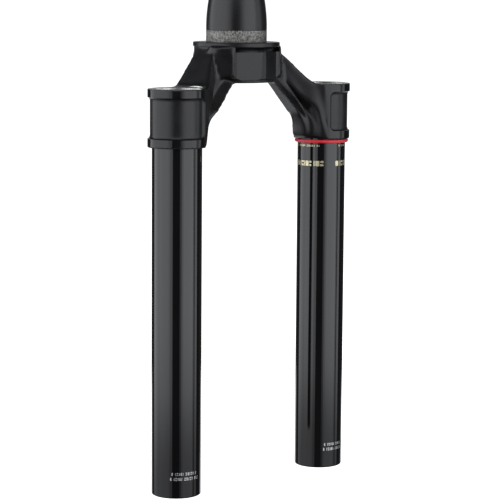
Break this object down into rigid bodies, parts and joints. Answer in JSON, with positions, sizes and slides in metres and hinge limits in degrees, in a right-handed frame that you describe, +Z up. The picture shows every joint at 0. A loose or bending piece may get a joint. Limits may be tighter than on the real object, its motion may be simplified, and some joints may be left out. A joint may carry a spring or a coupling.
{
  "type": "suspension fork",
  "caption": "Upper unit of a bicycle suspension fork: tapered steerer, forged crown and straight upper tubes, with a sliding sag ring.",
  "frame": {"origin": "on the steering axis at the crown race seat, where the headset's lower bearing bears on the crown's top face", "axes": "+Z up the steerer, -Y towards the front of the bicycle, +X to the rider's left, where the air-spring tube is"},
  "size_m": [0.1676, 0.0622, 0.5534],
  "materials": {
    "crown_anodised": "satin black anodised forging",
    "steerer_anodised": "satin black anodised, with a bare textured race seat",
    "tube_anodised": "polished black anodised",
    "ring_rubber": "smooth red rubber",
    "printed_marks": "thin gold and silver print"
  },
  "bodies": {
    "crown_steerer_unit": {"crown": "crown_anodised", "steerer_tube": "steerer_anodised", "damper_side_upper_tube": "tube_anodised", "air_side_upper_tube": "tube_anodised"},
    "ring": {"sag_ring": "ring_rubber"}
  },
  "joints": [
    {"name": "sag_ring_slide", "type": "slide", "parent": "crown_steerer_unit", "child": "ring", "axis": [0, 0, -1], "range_m": [0, 0.21]}
  ]
}
